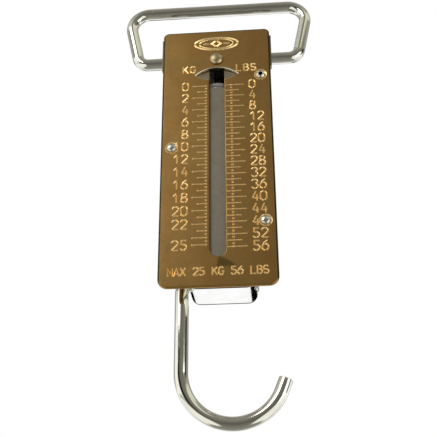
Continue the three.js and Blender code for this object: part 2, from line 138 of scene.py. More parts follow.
def platedShape(name, stacks, looks):
    # a flat plate from stacks of rings, front to back: the first stack is the rim, the others are openings
    shape = bmesh.new()
    fronts, backs = [], []
    for rings in stacks:
        loops = [[shape.verts.new((u, y, v)) for u, v in ring] for y, ring in rings]
        count = len(loops[0])
        for near, far in zip(loops, loops[1:]):
            for i in range(count):
                j = (i + 1) % count
                shape.faces.new((near[i], near[j], far[j], far[i]))
        for loop, edges in ((loops[0], fronts), (loops[-1], backs)):
            edges += [shape.edges.get((loop[i], loop[(i + 1) % count])) for i in range(count)]
    for edges in (fronts, backs):
        bmesh.ops.triangle_fill(shape, edges=edges, use_beauty=True, normal=(0, -1, 0))
    bmesh.ops.recalc_face_normals(shape, faces=shape.faces)
    mesh = bpy.data.meshes.new(name)
    shape.to_mesh(mesh)
    shape.free()
    piece = bpy.data.objects.new(name, mesh)
    scene.collection.objects.link(piece)
    for look in looks:
        mesh.materials.append(look)
    return piece


def arc(centre, radius, start, end, steps):
    # points on an arc in a plane, angles in degrees
    points = []
    for i in range(steps + 1):
        angle = math.radians(start + (end - start) * i / steps)
        points.append((centre[0] + radius * math.cos(angle), centre[1] + radius * math.sin(angle)))
    return points


def prism(name, outline, near, far, looks, axis="y"):
    # a closed outline pushed from near to far along y or z
    def place(u, v, depth):
        return (u, depth, v) if axis == "y" else (u, v, depth)
    count = len(outline)
    points = [place(u, v, near) for u, v in outline] + [place(u, v, far) for u, v in outline]
    faces = [tuple(range(count)), tuple(range(2 * count - 1, count - 1, -1))]
    for i in range(count):
        j = (i + 1) % count
        faces.append((i, i + count, j + count, j))
    piece = meshPiece(name, points, faces, looks)
    outwards(piece)
    return piece


def latheAround(name, profile, centre, axis, looks, sides):
    # profile is (radius, along) pairs; a radius of zero closes it on the axis
    points, faces, rings = [], [], []
    for radius, along in profile:
        ring = []
        for i in range(1 if radius < 1e-9 else sides):
            turn = 2 * math.pi * i / sides
            u, v = radius * math.cos(turn), radius * math.sin(turn)
            spot = {"x": (along, u, v), "y": (u, along, v), "z": (u, v, along)}[axis]
            ring.append(len(points))
            points.append(Vector(centre) + Vector(spot))
        rings.append(ring)
    closed = profile[0] == profile[-1]
    if closed:
        rings[-1] = rings[0]
    for low, high in zip(rings, rings[1:]):
        for i in range(sides):
            a, b = low[i % len(low)], low[(i + 1) % len(low)]
            c, d = high[(i + 1) % len(high)], high[i % len(high)]
            corners = [a, b, c, d]
            face = [p for k, p in enumerate(corners) if p not in corners[:k]]
            if len(face) > 2:
                faces.append(tuple(face))
    piece = meshPiece(name, points, faces, looks, 35)
    outwards(piece)
    smoothByAngle(piece, 35)
    return piece


def bore(radius, near, far, centre, axis, look, sides):
    # a round cutter along one axis
    profile = [(0, near), (radius, near), (radius, far), (0, far)]
    return latheAround("hole", profile, centre, axis, look, sides)


def sweepWire(name, path, radius, looks, sides, rounding=0.0):
    # a round wire along points, with softened ends
    path = [Vector(p) for p in path]
    stations = [(p, radius) for p in path]
    if rounding:
        steps = 4
        for end in (0, -1):
            inner = path[1] if end == 0 else path[-2]
            away = (path[end] - inner).normalized()
            ring = []
            for i in range(steps + 1):
                angle = math.pi / 2 * i / steps
                spot = path[end] - away * rounding * (1 - math.sin(angle))
                ring.append((spot, radius - rounding * (1 - math.cos(angle))))
            if end == 0:
                stations = ring[::-1] + stations[1:]
            else:
                stations = stations[:-1] + ring
    points, faces = [], []
    normal = None
    for i, (spot, size) in enumerate(stations):
        before = path[0] if i == 0 else stations[i - 1][0]
        after = path[-1] if i == len(stations) - 1 else stations[i + 1][0]
        tangent = (after - before).normalized() if (after - before).length > 1e-9 else tangent
        if normal is None:
            normal = tangent.orthogonal().normalized()
        normal = (normal - tangent * normal.dot(tangent)).normalized()
        side = tangent.cross(normal)
        for k in range(sides):
            turn = 2 * math.pi * k / sides
            points.append(spot + (normal * math.cos(turn) + side * math.sin(turn)) * size)
    for i in range(len(stations) - 1):
        for k in range(sides):
            a, b = i * sides + k, i * sides + (k + 1) % sides
            faces.append((a, b, b + sides, a + sides))
    faces.append(tuple(range(sides))[::-1])
    faces.append(tuple(range(len(points) - sides, len(points))))
    piece = meshPiece(name, points, faces, looks, 40)
    outwards(piece)
    smoothByAngle(piece, 40)
    return piece


def bentLine(corners):
    # straight runs joined by arcs, in the plane y = 0; a corner is (x, z, bend radius)
    points = [Vector((corners[0][0], 0, corners[0][1]))]
    for last, here, after in zip(corners, corners[1:], corners[2:]):
        spot = Vector((here[0], 0, here[1]))
        inward = (spot - Vector((last[0], 0, last[1]))).normalized()
        onward = (Vector((after[0], 0, after[1])) - spot).normalized()
        turn = inward.angle(onward)
        side = 1 if inward.x * onward.z - inward.z * onward.x > 0 else -1
        start = spot - inward * here[2] * math.tan(turn / 2)
        centre = start + Vector((-inward.z, 0, inward.x)) * side * here[2]
        steps = max(2, round(math.degrees(turn) / 4))  # a step for each 4 degrees
        for i in range(steps + 1):
            spin = Matrix.Rotation(-side * turn * i / steps, 3, "Y")
            points.append(centre + spin @ (start - centre))
    points.append(Vector((corners[-1][0], 0, corners[-1][1])))
    return points


def joined(name, pieces):
    # one object from several, with their materials kept
    base = pieces[0]
    base.name = name
    shape = bmesh.new()
    shape.from_mesh(base.data)
    for other in pieces[1:]:
        shape.from_mesh(other.data)
        bpy.data.objects.remove(other)
    shape.to_mesh(base.data)
    shape.free()
    base.data.update()
    return base


# Shader node groups

def newGroup(name, inputs, outputs):
    group = bpy.data.node_groups.new(name, "ShaderNodeTree")
    for label, value in inputs.items():
        socket = group.interface.new_socket(name=label, in_out="INPUT", socket_type="NodeSocketFloat")
        socket.default_value = value
    for label in outputs:
        group.interface.new_socket(name=label, in_out="OUTPUT", socket_type="NodeSocketFloat")
    tree = group.nodes
    return group, tree.new("NodeGroupInput"), tree.new("NodeGroupOutput")


def addNode(tree, kind, **values):
    node = tree.nodes.new(kind)
    for label, value in values.items():
        if hasattr(node, label):
            setattr(node, label, value)
        else:
            node.inputs[label.replace("_", " ")].default_value = value
    return node


def ramp(tree, source, low, high, fromValue=0.0, toValue=1.0):
    node = addNode(tree, "ShaderNodeMapRange")
    node.inputs["From Min"].default_value = low
    node.inputs["From Max"].default_value = high
    node.inputs["To Min"].default_value = fromValue
    node.inputs["To Max"].default_value = toValue
    tree.links.new(source, node.inputs["Value"])
    return node.outputs["Result"]


def math2(tree, operation, a, b):
    node = addNode(tree, "ShaderNodeMath", operation=operation)
    for socket, value in zip(node.inputs, (a, b)):
        if isinstance(value, (int, float)):
            socket.default_value = value
        else:
            tree.links.new(value, socket)
    return node.outputs[0]


def mixed(tree, factor, a, b):
    # colours are given as three numbers or as an output
    node = addNode(tree, "ShaderNodeMix", data_type="RGBA")
    for label, value in (("Factor", factor), ("A", a), ("B", b)):
        if isinstance(value, tuple):
            node.inputs[label].default_value = (*value, 1)
        else:
            tree.links.new(value, node.inputs[label])
    return node.outputs["Result"]


def buildTarnish():
    # broad cloudy patches with small dark specks
    inputs = {"Cloud Scale": 60.0, "Speck Scale": 900.0, "Specks": 0.3}
    group, given, out = newGroup("tarnish", inputs, ["Cloud", "Speck"])
    where = addNode(group, "ShaderNodeTexCoord").outputs["Object"]
    cloud = addNode(group, "ShaderNodeTexNoise", Detail=6.0, Roughness=0.62, Distortion=0.6)
    speck = addNode(group, "ShaderNodeTexNoise", Detail=2.0, Roughness=0.5)
    for node, label in ((cloud, "Cloud Scale"), (speck, "Speck Scale")):
        group.links.new(where, node.inputs["Vector"])
        group.links.new(given.outputs[label], node.inputs["Scale"])
    group.links.new(ramp(group, cloud.outputs["Fac"], 0.34, 0.68), out.inputs["Cloud"])
    spots = ramp(group, speck.outputs["Fac"], 0.62, 0.74)
    group.links.new(math2(group, "MULTIPLY", spots, given.outputs["Specks"]), out.inputs["Speck"])
    return group


def buildScratches():
    # fine hairlines across and along, and slow waviness
    inputs = {"Scale": 700.0, "Stretch": 30.0, "Amount": 0.5}
    group, given, out = newGroup("scratches", inputs, ["Hairline", "Wave"])
    where = addNode(group, "ShaderNodeTexCoord").outputs["Object"]
    total = None
    for angle in (0.35, -0.6, 1.35):
        turned = addNode(group, "ShaderNodeVectorRotate", rotation_type="Y_AXIS")
        turned.inputs["Angle"].default_value = angle
        group.links.new(where, turned.inputs["Vector"])
        stretch = addNode(group, "ShaderNodeCombineXYZ", X=1.0, Y=1.0)
        group.links.new(math2(group, "DIVIDE", 1.0, given.outputs["Stretch"]), stretch.inputs["Z"])
        scaled = addNode(group, "ShaderNodeVectorMath", operation="MULTIPLY")
        group.links.new(turned.outputs["Vector"], scaled.inputs[0])
        group.links.new(stretch.outputs["Vector"], scaled.inputs[1])
        noise = addNode(group, "ShaderNodeTexNoise", Detail=3.0, Roughness=0.7)
        group.links.new(scaled.outputs["Vector"], noise.inputs["Vector"])
        group.links.new(given.outputs["Scale"], noise.inputs["Scale"])
        line = ramp(group, noise.outputs["Fac"], 0.64, 0.7)
        total = line if total is None else math2(group, "MAXIMUM", total, line)
    group.links.new(math2(group, "MULTIPLY", total, given.outputs["Amount"]), out.inputs["Hairline"])
    wave = addNode(group, "ShaderNodeTexNoise", Scale=45.0, Detail=1.0, Roughness=0.4)
    group.links.new(where, wave.inputs["Vector"])
    group.links.new(wave.outputs["Fac"], out.inputs["Wave"])
    return group


tarnish = buildTarnish()
scratches = buildScratches()


def soiled(tree, colour, wedge):
    # a dark wedge under the slot's end, wider below
    where = addNode(tree, "ShaderNodeTexCoord").outputs["Object"]
    wobble = addNode(tree, "ShaderNodeTexNoise", Scale=260.0, Detail=3.0)
    parts = addNode(tree, "ShaderNodeSeparateXYZ")
    tree.links.new(where, wobble.inputs["Vector"])
    tree.links.new(where, parts.inputs["Vector"])
    drop = math2(tree, "SUBTRACT", wedge["top"], parts.outputs["Z"])
    shake = math2(tree, "MULTIPLY", math2(tree, "SUBTRACT", wobble.outputs["Fac"], 0.5), wedge["shake"])
    across = math2(tree, "ADD", math2(tree, "SUBTRACT", parts.outputs["X"], wedge["x"]), shake)
    lean = math2(tree, "MULTIPLY", drop, wedge["leftSlope"])
    left = ramp(tree, math2(tree, "ADD", across, lean), 0, wedge["leftSoft"])
    side = math2(tree, "ADD", math2(tree, "MULTIPLY", drop, wedge["rightSlope"]), wedge["start"])
    right = ramp(tree, math2(tree, "SUBTRACT", side, across), 0, wedge["rightSoft"])
    low = ramp(tree, drop, wedge["reach"], wedge["reach"] * 0.7)
    mask = math2(tree, "MULTIPLY", math2(tree, "MULTIPLY", left, right), low)
    return mixed(tree, math2(tree, "MULTIPLY", mask, wedge["strength"]), colour, wedge["colour"])


plainMetal = {"metallic": 1.0, "speckScale": 900, "patchScale": 22, "patchShare": 0.6,
              "dirt": (0.05, 0.035, 0.02), "hairRoughness": 0.25, "waviness": 6.0, "depth": 0.02}


def metalLook(name, own):
    # aged metal: two tones by cloud, dark specks, hairlines in roughness and relief
    values = {**plainMetal, **own}
    look = bpy.data.materials.new(name)
    look.use_nodes = True
    tree = look.node_tree
    shader = tree.nodes["Principled BSDF"]
    shader.inputs["Metallic"].default_value = values["metallic"]
    marks = addNode(tree, "ShaderNodeGroup", node_tree=tarnish)
    marks.inputs["Cloud Scale"].default_value = values["cloudScale"]
    marks.inputs["Speck Scale"].default_value = values["speckScale"]
    marks.inputs["Specks"].default_value = values["specks"]
    rub = addNode(tree, "ShaderNodeGroup", node_tree=scratches)
    rub.inputs["Amount"].default_value = values["scratches"]
    tone = mixed(tree, marks.outputs["Cloud"], values["light"], values["dark"])
    patch = addNode(tree, "ShaderNodeGroup", node_tree=tarnish)
    patch.inputs["Cloud Scale"].default_value = values["patchScale"]
    share = math2(tree, "MULTIPLY", patch.outputs["Cloud"], values["patchShare"])
    warm = mixed(tree, share, tone, values.get("patch", values["dark"]))
    colour = mixed(tree, marks.outputs["Speck"], warm, values["dirt"])
    if "marks" in values:
        colour = soiled(tree, colour, values["marks"])
    tree.links.new(colour, shader.inputs["Base Color"])
    low, high = values["roughness"]
    base = ramp(tree, marks.outputs["Cloud"], 0, 1, low, high)
    hair = math2(tree, "MULTIPLY", rub.outputs["Hairline"], values["hairRoughness"])
    rough = math2(tree, "ADD", base, hair)
    tree.links.new(rough, shader.inputs["Roughness"])
    swell = math2(tree, "MULTIPLY", rub.outputs["Wave"], values["waviness"])
    height = math2(tree, "SUBTRACT", swell, rub.outputs["Hairline"])
    pitted = math2(tree, "SUBTRACT", height, marks.outputs["Speck"])
    bump = addNode(tree, "ShaderNodeBump")
    bump.inputs["Strength"].default_value = values["relief"]
    bump.inputs["Distance"].default_value = values["depth"] * mm
    tree.links.new(pitted, bump.inputs["Height"])
    tree.links.new(bump.outputs["Normal"], shader.inputs["Normal"])
    return look


looks = {
    "brass": metalLook("agedBrass", {
        "light": (0.475, 0.28, 0.09), "dark": (0.32, 0.198, 0.07), "patch": (0.35, 0.172, 0.048),
        "dirt": (0.09, 0.055, 0.022), "roughness": (0.34, 0.44), "cloudScale": 70, "patchScale": 26,
        "specks": 0.35, "speckScale": 1300, "scratches": 0.25, "relief": 0.35, "waviness": 9, "depth": 0.02,
        # a darker wedge of the face below the slot's end, wider below
        "marks": {"x": 0.0, "top": fromBottom(16.0), "reach": 6.5 * mm, "start": 3.0 * mm,
                  "leftSlope": 0.25, "rightSlope": 1.5, "leftSoft": 1.2 * mm, "rightSoft": 2.5 * mm,
                  "shake": 3 * mm, "strength": 0.75, "colour": (0.11, 0.085, 0.03)}}),
    # the pale yellow base colour paints highlights into the punched figures and ticks; the hollows round the small
    # rivets share it
    "punched": metalLook("punchedBrassPaintedHighlight", {
        "metallic": 0.86, "light": (1.0, 0.78, 0.42), "dark": (0.95, 0.66, 0.3), "roughness": (0.18, 0.32),
        "cloudScale": 300, "specks": 0.2, "scratches": 0.2, "relief": 0.2}),
    # pale tone for the window and slot edges: a painted highlight where the sheet's edge catches the light
    "lip": metalLook("lipPaintedHighlight", {
        "light": (0.9, 0.85, 0.7), "dark": (0.75, 0.68, 0.5), "roughness": (0.2, 0.34),
        "cloudScale": 300, "specks": 0.3, "scratches": 0.2, "relief": 0.2}),
    # dark tone for the plate's outer edges and the upper rivet's hollow; along the strap's lower back edge it is
    # painted shade
    "rim": metalLook("darkRim", {
        "light": (0.06, 0.056, 0.028), "dark": (0.035, 0.04, 0.022), "roughness": (0.5, 0.62),
        "cloudScale": 160, "specks": 0.5, "scratches": 0.4, "relief": 0.4}),
    "nickel": metalLook("brightNickel", {
        "light": (0.86, 0.85, 0.79), "dark": (0.76, 0.75, 0.68), "dirt": (0.25, 0.22, 0.17),
        "roughness": (0.06, 0.13), "cloudScale": 110, "patchScale": 60, "specks": 0.3, "speckScale": 1500,
        "scratches": 0.3, "relief": 0.3, "waviness": 7}),
    "housing": metalLook("dullNickel", {
        "metallic": 0.6, "light": (0.5, 0.49, 0.45), "dark": (0.36, 0.35, 0.32), "dirt": (0.12, 0.09, 0.06),
        "roughness": (0.3, 0.48), "cloudScale": 55, "specks": 0.6, "scratches": 0.6, "relief": 0.4}),
    "strip": metalLook("wornSteel", {
        "light": (0.34, 0.305, 0.24), "dark": (0.275, 0.245, 0.195), "dirt": (0.1, 0.08, 0.06),
        "roughness": (0.42, 0.55), "cloudScale": 120, "specks": 0.25, "scratches": 0.4, "relief": 0.3}),
    "rivet": metalLook("rivetBrass", {
        "light": (0.7, 0.56, 0.34), "dark": (0.48, 0.385, 0.22), "dirt": (0.16, 0.12, 0.06),
        "roughness": (0.3, 0.45), "cloudScale": 420, "specks": 0.5, "scratches": 0.5, "relief": 0.6}),
    "silver": metalLook("rivetNickel", {
        "light": (0.85, 0.83, 0.76), "dark": (0.6, 0.58, 0.5), "dirt": (0.15, 0.12, 0.08),
        "roughness": (0.2, 0.36), "cloudScale": 500, "specks": 0.6, "scratches": 0.5, "relief": 0.8}),
    "spring": metalLook("springSteel", {
        "metallic": 0.6, "light": (0.4, 0.36, 0.34), "dark": (0.26, 0.24, 0.23), "dirt": (0.16, 0.08, 0.04),
        "roughness": (0.28, 0.42), "cloudScale": 200, "specks": 0.3, "scratches": 0.3, "relief": 0.3}),
    "zinc": metalLook("zincPlate", {
        "light": (0.4, 0.33, 0.23), "dark": (0.27, 0.22, 0.15), "dirt": (0.1, 0.08, 0.05),
        "roughness": (0.34, 0.48), "cloudScale": 240, "specks": 0.4, "scratches": 0.4, "relief": 0.3}),
}
print("materials ready:", len(looks))


# Face plate with its graduations

face = {
    "edge": 0.9 * mm,          # rounding of the outer rim
    "lip": 0.6 * mm,           # rounding of the slot and window
    "topCorner": 3 * mm,
    "bottomCorner": 5 * mm,
    "slotHalf": 4.15 * mm,
    "slotEnd": 16.1,           # millimetres above the lower edge
    "windowHalf": 11.7 * mm,
    "windowAt": 125.4,
    "windowRise": 4.7 * mm,
    "windowDrop": 3.5 * mm,
    "fullKilos": 25,
    "fullPounds": 56,
    "poundsInKilo": 2.2046,
    "tickStart": 4.9 * mm,
    "kiloRail": 5.9 * mm,
    "poundRail": 8.0 * mm,
    "kiloTicks": {"one": 10.4, "even": 13.1},
    "poundTicks": {"two": 12.2, "four": 14.8},
    "tickWidth": 0.56 * mm,
    "tickDepth": 0.25 * mm,
    "dotWidth": 1.0 * mm,
    "dotLength": 0.8 * mm,
    "dotDepth": 0.42 * mm,
    "figureWidth": 0.8 * mm,
    "figureDepth": 0.42 * mm,
    "figureTall": 5.3 * mm,
    "figureWide": 3.2 * mm,
    "mainRivetHole": 3.1 * mm,
    "smallRivetHole": 1.7 * mm,
    # hollow round a small rivet, as (radius, depth) in millimetres
    "crater": [(0, -1), (4.2, -1), (3.5, -0.02), (3.1, 0.3), (2.6, 0.5), (0, 0.5)],
    "lipHalf": 12.5 * mm,      # the painted highlight on the lip is within this of the middle
    "lipBelow": 2 * mm,        # and between these from the zero line
    "lipAbove": 15 * mm,
    "kiloUnitsAt": -17.2 * mm,
    "kiloTensAt": -21.6 * mm,
    "poundTensAt": 19.4 * mm,
    "poundUnitsAt": 23.6 * mm,
}


def plateOutline(grow):
    side, low, high = plateHalf + grow, plateBottom - grow, plateTop + grow
    bottom, top = face["bottomCorner"] + grow, face["topCorner"] + grow
    return (arc((side - bottom, low + bottom), bottom, -90, 0, 10)
            + arc((side - top, high - top), top, 0, 90, 10)
            + arc((-side + top, high - top), top, 90, 180, 10)
            + arc((-side + bottom, low + bottom), bottom, 180, 270, 10))


def openingOutline(grow):
    # lens window and slot in one line
    half, wide = face["slotHalf"] + grow, face["windowHalf"] + grow
    rise, drop = face["windowRise"] + grow, face["windowDrop"] + grow
    middle = fromBottom(face["windowAt"])
    upper = (wide * wide + rise * rise) / (2 * rise)
    lower = (wide * wide + drop * drop) / (2 * drop)
    upperReach = math.degrees(math.asin(wide / upper))
    lowerReach = math.degrees(math.asin(wide / lower))
    slotReach = math.degrees(math.asin(half / lower))
    end = fromBottom(face["slotEnd"]) + face["slotHalf"]
    over = (0, middle + rise - upper)
    under = (0, middle - drop + lower)
    points = arc(over, upper, 90 - upperReach, 90 + upperReach, 20)
    points += arc(under, lower, -90 - lowerReach, -90 - slotReach, 6)[1:]
    points += arc((0, end), half, 180, 360, 18)
    points += arc(under, lower, -90 + slotReach, -90 + lowerReach, 6)[:-1]
    return points


def edgeSteps(front, back, rounding):
    # offsets and depths down a rim that is rounded in front and eased behind
    steps = []
    for i in range(5):
        turn = math.pi / 2 * i / 4
        steps.append((rounding * (1 - math.sin(turn)), front + rounding * (1 - math.cos(turn))))
    eased = 0.2 * mm
    return steps + [(0, back - eased), (eased, back)]


# Figures are strokes on a grid 4 wide and 6 high, with small gaps where strokes would meet.
# A stroke lists points, and arcs as (centre x, centre y, radius x, radius y, start, end) in degrees.
figures = {
    "0": [[(2, 3.9, 2, 2.1, 82, 180), (2, 2.1, 2, 2.1, 180, 278)],
          [(2, 3.9, 2, 2.1, 60, 0), (2, 2.1, 2, 2.1, 0, -60)]],
    "1": [[(0.6, 4.2), (2.3, 5.8)], [(2.5, 5.0), (2.5, 0)]],
    "2": [[(2, 4.3, 1.9, 1.7, 170, -32), (0.2, 0.3)], [(0.7, 0.1), (4, 0.1)]],
    "3": [[(1.9, 4.6, 1.8, 1.4, 160, -60)], [(1.9, 1.6, 2.0, 1.6, 62, -160)]],
    "4": [[(2.4, 6), (0.3, 1.9)], [(0.9, 1.8), (4.0, 1.8)], [(3.1, 3.8), (3.1, 0)]],
    "5": [[(3.7, 6), (0.7, 6), (0.5, 3.5)], [(1.7, 1.85, 2.1, 1.75, 100, -150)]],
    "6": [[(3.3, 6), (1.5, 4.7), (2, 1.95, 2, 1.95, 165, 262)], [(2, 1.95, 2, 1.95, 118, -62)]],
    "8": [[(2, 4.6, 1.6, 1.4, 78, 262)], [(2, 4.6, 1.6, 1.4, 48, -74)],
          [(2, 1.5, 2, 1.5, 108, 262)], [(2, 1.5, 2, 1.5, 72, -68)]],
    "K": [[(0.2, 0), (0.2, 6)], [(3.8, 6), (0.5, 2.6)], [(1.7, 3.4), (3.9, 0)]],
    "G": [[(2.1, 3, 2.0, 3, 45, 325), (3.8, 2.8), (2.6, 2.8)]],
    "L": [[(0.3, 6), (0.3, 0.1), (3.8, 0.1)]],
    "B": [[(0.3, 0), (0.3, 6)], [(0.9, 6), (2.0, 4.6, 1.6, 1.4, 90, -85), (1.0, 3.2)],
          [(2.1, 1.55, 1.9, 1.55, 75, -90), (0.9, 0)]],
    "S": [[(2, 4.45, 1.7, 1.55, 30, 250), (2, 1.55, 1.9, 1.55, 70, -150)]],
    "M": [[(0, 0), (0, 6), (2, 2.2), (4, 6), (4, 0)]],
    "A": [[(0, 0), (1.9, 6), (4, 0)], [(1.0, 1.7), (3.0, 1.7)]],
    "X": [[(0, 6), (4, 0)], [(4, 6), (0, 0)]],
}


def strokePoints(stroke):
    points = []
    for item in stroke:
        if len(item) == 2:
            points.append(item)
            continue
        cx, cy, rx, ry, start, end = item
        steps = max(4, round(abs(end - start) / 24))
        for i in range(steps + 1):
            angle = math.radians(start + (end - start) * i / steps)
            points.append((cx + rx * math.cos(angle), cy + ry * math.sin(angle)))
    kept = [points[0]]
    for p in points[1:]:
        if math.dist(p, kept[-1]) > 0.12:
            kept.append(p)
    return kept


def groove(points, width, depth):
    # a V-shaped cutter along points in the plane of the face: vertices and faces
    above = 0.15 * mm
    half = width / 2 * (depth + above) / depth
    spots = [Vector(p) for p in points]
    ring, faces = [], []
    for i, spot in enumerate(spots):
        before = (spot - spots[i - 1]).normalized() if i else None
        after = (spots[i + 1] - spot).normalized() if i < len(spots) - 1 else None
        along = (before or after) if before is None or after is None else (before + after)
        along = along.normalized() if along.length > 0.3 else (after or before)
        normal = Vector((-along.y, along.x))
        reach = 1.0
        if before is not None and after is not None:
            reach = min(1 / max(normal.dot(Vector((-after.y, after.x))), 0.4), 1.6)
        tip = Vector((0, 0))
        if before is None:
            tip = -along * half * 0.3
        elif after is None:
            tip = along * half * 0.3
        left = spot + normal * half * reach + tip
        right = spot - normal * half * reach + tip
        y = plateFront - above
        ring.append(((left.x, y, left.y), (right.x, y, right.y), (spot.x, plateFront + depth, spot.y)))
    vertices = [p for station in ring for p in station]
    for i in range(len(ring) - 1):
        a, b = 3 * i, 3 * i + 3
        faces += [(a + 1, b + 1, b, a), (b, b + 2, a + 2, a), (a + 2, b + 2, b + 1, a + 1)]
    faces += [(2, 1, 0), (len(vertices) - 2, len(vertices) - 1, len(vertices) - 3)]
    return vertices, faces


class Engraver:
    # collects grooves in layers, so that meeting strokes are cut one after the other
    def __init__(self):
        self.layers = {}

    def cut(self, layer, points, width, depth):
        vertices, faces = self.layers.setdefault(layer, ([], []))
        start = len(vertices)
        more, added = groove(points, width, depth)
        vertices.extend(more)
        faces.extend(tuple(i + start for i in f) for f in added)

    def figure(self, sign, x, z, shape, first=0):
        wide, tall, width, depth = shape
        for layer, stroke in enumerate(figures[sign], first):
            points = [(x + (u / 4 - 0.5) * wide, z + (v / 6 - 0.5) * tall) for u, v in strokePoints(stroke)]
            self.cut(layer, points, width, depth)

    def cutters(self):
        return [meshPiece(f"cutter{layer}", *self.layers[layer], looks["punched"])
                for layer in sorted(self.layers)]


def engraveScale(tool):
    kilo = travel / face["fullKilos"]
    pound = kilo / face["poundsInKilo"]
    depth = face["tickDepth"]
    dot = face["dotLength"] / 2
    for step in range(2 * face["fullKilos"] + 1):
        z = stripTop - step * kilo / 2
        rail = face["kiloRail"]
        tool.cut(1, [(-rail + dot, z), (-rail - dot, z)], face["dotWidth"], face["dotDepth"])
        if step % 2 == 0:
            even = step % 4 == 0 or step == 2 * face["fullKilos"]
            end = face["kiloTicks"]["even" if even else "one"] * mm
            tool.cut(0, [(-rail - 2 * dot, z), (-end + 2 * dot, z)], face["tickWidth"], depth)
            tool.cut(1, [(-end + dot, z), (-end, z)], face["dotWidth"], depth)
    for step in range(face["fullPounds"] + 1):
        z = stripTop - step * pound
        rail = face["poundRail"]
        tool.cut(1, [(rail - dot, z), (rail + dot, z)], face["dotWidth"], face["dotDepth"])
        if step % 2 == 0:
            tool.cut(0, [(face["tickStart"], z), (rail - 2 * dot, z)], face["tickWidth"], depth)
            end = face["poundTicks"]["four" if step % 4 == 0 else "two"] * mm
            tool.cut(0, [(rail + 2 * dot, z), (end, z)], face["tickWidth"], depth)
    figure = (face["figureWide"], face["figureTall"], face["figureWidth"], face["figureDepth"])
    for kilos in [*range(0, face["fullKilos"] - 1, 2), face["fullKilos"]]:
        z = stripTop - kilos * kilo
        tens, units = divmod(kilos, 10)
        tool.figure(str(units), face["kiloUnitsAt"], z, figure)
        if tens:
            tool.figure(str(tens), face["kiloTensAt"], z, figure, first=4)
    for pounds in range(0, face["fullPounds"] + 1, 4):
        z = stripTop - pounds * pound
        label = str(pounds)
        tool.figure(label[0], face["poundTensAt"], z, figure)
        if len(label) > 1:
            tool.figure(label[1], face["poundUnitsAt"], z, figure, first=4)


wording = {
    "headings": (("KG", -15.2, 129.3), ("LBS", 16.4, 129.2)),  # word, x and height in millimetres
    "headingPitch": 4.0,
    "headingSign": (2.9 * mm, 4.4 * mm, 0.8 * mm, face["figureDepth"]),  # wide, tall, stroke, depth
    "footing": "MAX 25 KG 56 LBS",
    "footingAt": 8.2,
    "footingPitch": 3.15 * mm,
    "footingSign": (2.5 * mm, 4.1 * mm, 0.74 * mm, face["figureDepth"]),
}


def engraveWords(tool):
    for word, x, z in wording["headings"]:
        for i, sign in enumerate(word):
            place = (x + (i - (len(word) - 1) / 2) * wording["headingPitch"]) * mm
            tool.figure(sign, place, fromBottom(z), wording["headingSign"], first=i % 2 * 4)
    words = wording["footing"]
    for i, sign in enumerate(words):
        if sign != " ":
            x = (i - (len(words) - 1) / 2) * wording["footingPitch"]
            tool.figure(sign, x, fromBottom(wording["footingAt"]), wording["footingSign"], first=i % 2 * 4)


ornament = {"height": 146.5, "ovalWide": 12.2 * mm, "ovalTall": 4.2 * mm, "innerOval": 0.78,
            "bold": 1.1 * mm, "fine": 0.7 * mm, "depth": 0.48 * mm,
            "lozenge": ((0.45, 1.75), (2.6, 0), (0.45, -1.75)), "bar": (4.4 * mm, 7.2 * mm)}


def engraveOrnament(tool):
    # a plain double oval with a lozenge between two bars
    middle = fromBottom(ornament["height"])
    bold, depth = ornament["bold"], ornament["depth"]
    for scale, width, first in ((1.0, bold, 0), (ornament["innerOval"], ornament["fine"], 2)):
        wide, tall = ornament["ovalWide"] * scale, ornament["ovalTall"] * scale
        for start in (4, 184):
            ring = [(wide * math.cos(math.radians(a)), middle + tall * math.sin(math.radians(a)))
                    for a in range(start, start + 173, 8)]
            tool.cut(first + start // 184, ring, width, depth * width / bold)
    for side in (-1, 1):
        half = [(side * x * mm, middle + z * mm) for x, z in ornament["lozenge"]]
        tool.cut((side + 1) // 2, half, bold, depth)
        tool.cut(0, [(side * x, middle) for x in ornament["bar"]], bold, depth)


def rivetSpots():
    spots = []
    for name in ("plate_rivet_upper", "plate_rivet_middle", "plate_rivet_lower"):
        low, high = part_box(name)
        spots.append(((low + high) / 2, name))
    return spots


def buildFace():
    front, back = plateLow.y, plateHigh.y
    stacks = [[(y, plateOutline(-inset)) for inset, y in edgeSteps(front, back, face["edge"])],
              [(y, openingOutline(inset)) for inset, y in edgeSteps(front, back, face["lip"])]]
    low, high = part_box("main_rivet")
    holes = [((low + high) / 2, face["mainRivetHole"])]
    holes += [(spot, face["smallRivetHole"]) for spot, name in rivetSpots()]
    for spot, radius in holes:
        ring = arc((spot.x, spot.z), radius, 0, 350, 35)
        stacks.append([(front, ring), (back, ring)])
    plate = platedShape("plateBlank", stacks, [looks["brass"], looks["punched"], looks["lip"], looks["rim"]])
    for polygon in plate.data.polygons:
        spot, facing = polygon.center, polygon.normal
        if abs(facing.y) > 0.998:  # the flat front and back stay brass
            continue
        nearZero = stripTop - face["lipBelow"] < spot.z < stripTop + face["lipAbove"]
        # edges of the window and slot near the zero line take the pale lip tone, a painted highlight
        if abs(spot.x) < face["lipHalf"] and nearZero:
            polygon.material_index = 2
        elif abs(spot.x) > plateHalf - face["edge"] or spot.z > plateTop - face["edge"]:
            polygon.material_index = 3
    crater = [(radius * mm, depth * mm) for radius, depth in face["crater"]]
    carve(plate, [latheAround(name + "Crater", crater, (spot.x, plateFront, spot.z), "y",
                              looks["punched"], 40) for spot, name in rivetSpots()])
    tool = Engraver()
    engraveScale(tool)
    engraveWords(tool)
    engraveOrnament(tool)
    carve(plate, tool.cutters())
    if plate.dimensions.x < 1.98 * plateHalf:
        raise RuntimeError("the engraving spoiled the plate")
    plate.name = "brassFace"
    smoothByAngle(plate, 40)
    flattenFaces(plate)
    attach(plate, "case")
    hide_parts("front_plate")
    return plate


